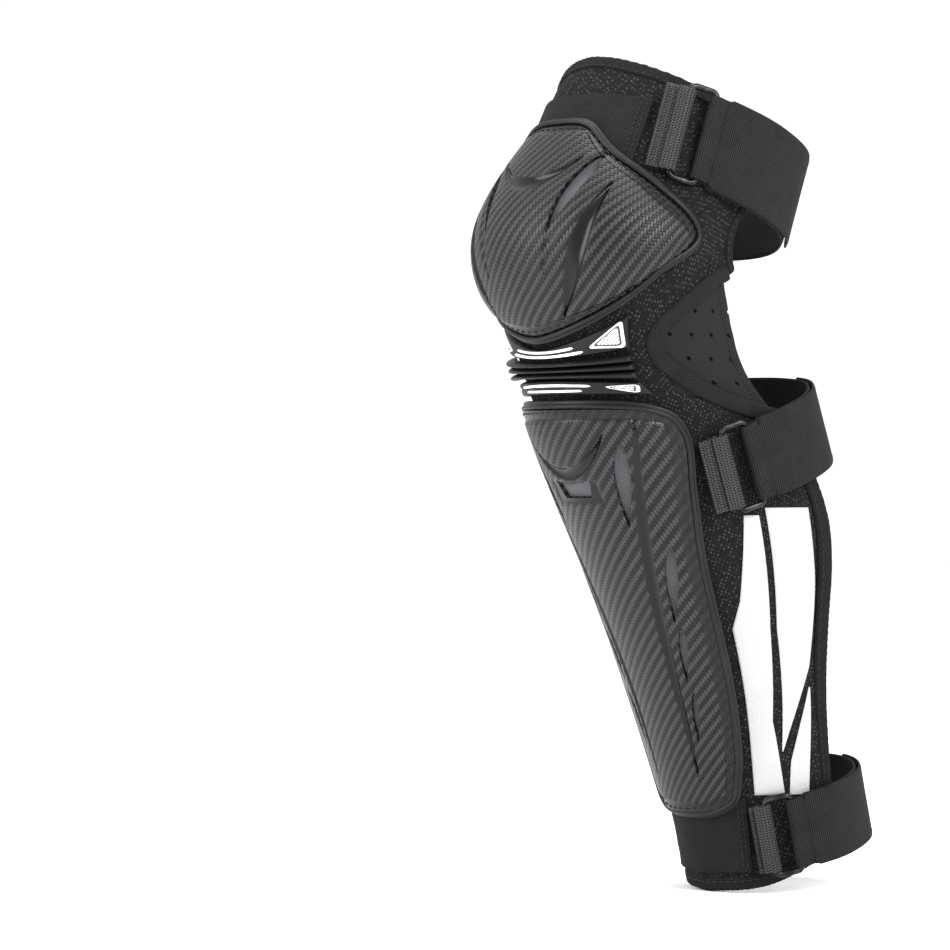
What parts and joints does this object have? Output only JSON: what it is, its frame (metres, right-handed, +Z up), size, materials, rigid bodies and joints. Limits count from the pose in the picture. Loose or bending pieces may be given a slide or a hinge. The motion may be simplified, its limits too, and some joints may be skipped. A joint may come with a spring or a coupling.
{
  "type": "knee and shin guard",
  "caption": "Wrap-on knee and shin guard with a domed knee shell, a long shin shell, a ribbed rubber flex bridge and elastic straps that close through wire rings.",
  "frame": {"origin": "centre of the knee joint, on the knee's flexion axis, inside the guard", "axes": "+Z up the standing leg, the guard's front looks along -Y, +X is the buckle side (outer side of a left leg)"},
  "size_m": [0.1495, 0.2435, 0.4504],
  "materials": {
    "air_mesh": "black air-mesh knit with small pale dots",
    "neoprene": "black perforated neoprene, jersey faced",
    "edge_tape": "black folded edge tape",
    "elastic": "black ribbed elastic band",
    "webbing": "black coarse webbing",
    "foam": "black cloth over soft foam",
    "carbon_look": "charcoal hard shell with a twill pattern, satin",
    "soft_rubber": "dark grey moulded soft rubber, matt",
    "vent_mesh": "grey vent mesh",
    "white_rubber": "white moulded inlay",
    "ring": "dark satin coated steel wire"
  },
  "bodies": {
    "thigh": {"thigh_sleeve": "air_mesh", "thigh_top_tape": "edge_tape", "thigh_back_tape_right": "edge_tape", "thigh_back_tape_left": "edge_tape", "knee_front_panel": "air_mesh", "knee_gusset_right": "neoprene", "knee_gusset_left": "neoprene", "knee_pad": "foam", "knee_shell": "carbon_look", "knee_vent_mesh_right": "vent_mesh", "knee_vent_mesh_left": "vent_mesh", "knee_rim": "soft_rubber", "bridge_upper_plate": "soft_rubber", "bridge_upper_insert_right": "white_rubber", "bridge_upper_insert_left": "white_rubber", "upper_front_elastic": "elastic", "upper_webbing_tab": "webbing", "upper_webbing_loop": "webbing", "upper_rear_strap": "elastic"},
    "shin": {"shin_sleeve": "air_mesh", "shin_bottom_tape": "edge_tape", "shin_back_tape_right": "edge_tape", "shin_back_tape_left": "edge_tape", "bridge_lower_plate": "soft_rubber", "bridge_lower_insert_right": "white_rubber", "bridge_lower_insert_left": "white_rubber", "shin_pad": "foam", "shin_shell": "carbon_look", "shin_rim": "soft_rubber", "shin_scoop_mesh": "vent_mesh", "shin_vent_mesh_upper_right": "vent_mesh", "shin_vent_mesh_middle_right": "vent_mesh", "shin_vent_mesh_lower_right": "vent_mesh", "shin_vent_mesh_upper_left": "vent_mesh", "shin_vent_mesh_middle_left": "vent_mesh", "shin_vent_mesh_lower_left": "vent_mesh", "middle_side_elastic": "elastic", "middle_webbing_tab": "webbing", "middle_webbing_loop": "webbing", "middle_rear_strap": "elastic", "lower_front_elastic": "elastic", "lower_webbing_tab": "webbing", "lower_webbing_loop": "webbing", "lower_rear_strap": "elastic"},
    "rib_1": {"bridge_rib_1": "soft_rubber"},
    "rib_2": {"bridge_rib_2": "soft_rubber"},
    "rib_3": {"bridge_rib_3": "soft_rubber"},
    "upper_ring": {"upper_ring": "ring", "upper_strap_fold": "elastic"},
    "upper_hook_tab": {"upper_hook_tab": "elastic"},
    "middle_ring": {"middle_ring": "ring", "middle_strap_fold": "elastic"},
    "middle_hook_tab": {"middle_hook_tab": "elastic"},
    "lower_ring": {"lower_ring": "ring", "lower_strap_fold": "elastic"},
    "lower_hook_tab": {"lower_hook_tab": "elastic"}
  },
  "joints": [
    {"name": "knee_flex", "type": "hinge", "parent": "thigh", "child": "shin", "pos_m": [0, 0, 0], "axis": [1, 0, 0], "range_deg": [-3, 34], "stiffness_Nm_per_rad": 5, "deforming": ["knee_front_panel", "knee_gusset_right", "knee_gusset_left"]},
    {"name": "rib_1_follow", "type": "hinge", "parent": "thigh", "child": "rib_1", "pos_m": [0, 0, 0], "axis": [1, 0, 0], "range_deg": [-0.75, 8.5]},
    {"name": "rib_2_follow", "type": "hinge", "parent": "thigh", "child": "rib_2", "pos_m": [0, 0, 0], "axis": [1, 0, 0], "range_deg": [-1.5, 17]},
    {"name": "rib_3_follow", "type": "hinge", "parent": "thigh", "child": "rib_3", "pos_m": [0, 0, 0], "axis": [1, 0, 0], "range_deg": [-2.25, 25.5]},
    {"name": "upper_ring_swing", "type": "hinge", "parent": "thigh", "child": "upper_ring", "pos_m": [0.05866, -0.01424, 0.09818], "axis": [0, -0.342, -0.9397], "range_deg": [0, 20], "stiffness_Nm_per_rad": 0.08},
    {"name": "upper_hook_tab_peel", "type": "hinge", "parent": "upper_ring", "child": "upper_hook_tab", "pos_m": [0.0689, 0.00313, 0.09186], "axis": [0, -0.342, -0.9397], "range_deg": [0, 100]},
    {"name": "middle_ring_swing", "type": "hinge", "parent": "shin", "child": "middle_ring", "pos_m": [0.06343, 0.01793, -0.08047], "axis": [0, 0.342, -0.9397], "range_deg": [0, 20], "stiffness_Nm_per_rad": 0.08},
    {"name": "middle_hook_tab_peel", "type": "hinge", "parent": "middle_ring", "child": "middle_hook_tab", "pos_m": [0.07238, 0.03583, -0.07396], "axis": [0, 0.342, -0.9397], "range_deg": [0, 100]},
    {"name": "lower_ring_swing", "type": "hinge", "parent": "shin", "child": "lower_ring", "pos_m": [0.03984, 0.0711, -0.27927], "axis": [0, 0.2419, -0.9703], "range_deg": [0, 20], "stiffness_Nm_per_rad": 0.08},
    {"name": "lower_hook_tab_peel", "type": "hinge", "parent": "lower_ring", "child": "lower_hook_tab", "pos_m": [0.0533, 0.08687, -0.27534], "axis": [0, 0.2419, -0.9703], "range_deg": [0, 100]}
  ],
  "couplings": [
    {"joint": "rib_1_follow", "follows": "knee_flex", "ratio": 0.25},
    {"joint": "rib_2_follow", "follows": "knee_flex", "ratio": 0.5},
    {"joint": "rib_3_follow", "follows": "knee_flex", "ratio": 0.75}
  ]
}
